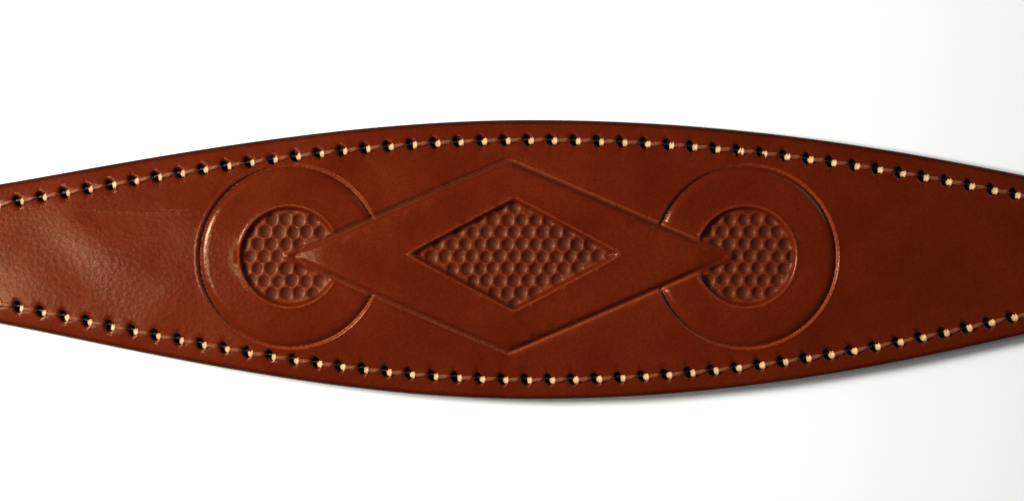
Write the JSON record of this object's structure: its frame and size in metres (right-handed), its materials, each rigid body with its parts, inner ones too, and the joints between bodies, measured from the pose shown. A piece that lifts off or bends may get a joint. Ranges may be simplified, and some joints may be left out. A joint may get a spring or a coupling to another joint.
{
  "type": "tooled leather hound collar",
  "caption": "Wide lined leather collar that tapers to a strap at each end, stitched round the edge and tooled with two rings and a diamond, with a roller buckle, keeper and dee.",
  "frame": {"origin": "on the underside of the lining, at the collar's widest point", "axes": "+X along the strap towards the pointed billet end, +Z out of the tooled grain face"},
  "size_m": [0.5059, 0.0506, 0.0133],
  "materials": {
    "bridle_leather": "waxed chestnut bridle leather, tooled, with dark burnished edges",
    "lining_leather": "undyed soft lining leather",
    "felt": "pressed wool felt",
    "waxed_thread": "waxed twisted linen thread, old gold",
    "brass": "polished solid brass"
  },
  "bodies": {
    "strap": {"outer_leather": "bridle_leather", "lining_leather": "lining_leather", "padding": "felt", "edge_seam_needle_thread": "waxed_thread", "edge_seam_bobbin_thread": "waxed_thread", "buckle_seam_needle_thread": "waxed_thread", "buckle_seam_bobbin_thread": "waxed_thread", "keeper_loop": "bridle_leather"},
    "frame": {"buckle_frame": "brass"},
    "roller": {"buckle_roller": "brass"},
    "prong": {"buckle_prong": "brass"},
    "dee": {"dee_ring": "brass"}
  },
  "joints": [
    {"name": "buckle_swing", "type": "hinge", "parent": "strap", "child": "frame", "pos_m": [-0.203, 0, 0.0033], "axis": [0, 1, 0], "range_deg": [-30, 45]},
    {"name": "roller_spin", "type": "hinge", "parent": "frame", "child": "roller", "pos_m": [-0.2205, 0, 0.0033], "axis": [0, 1, 0], "continuous": true},
    {"name": "prong_swing", "type": "hinge", "parent": "frame", "child": "prong", "pos_m": [-0.203, 0, 0.0033], "axis": [0, 1, 0], "range_deg": [0, 75]},
    {"name": "dee_swing", "type": "hinge", "parent": "strap", "child": "dee", "pos_m": [-0.168, 0, 0.0032], "axis": [0, -1, 0], "range_deg": [0, 110]}
  ]
}
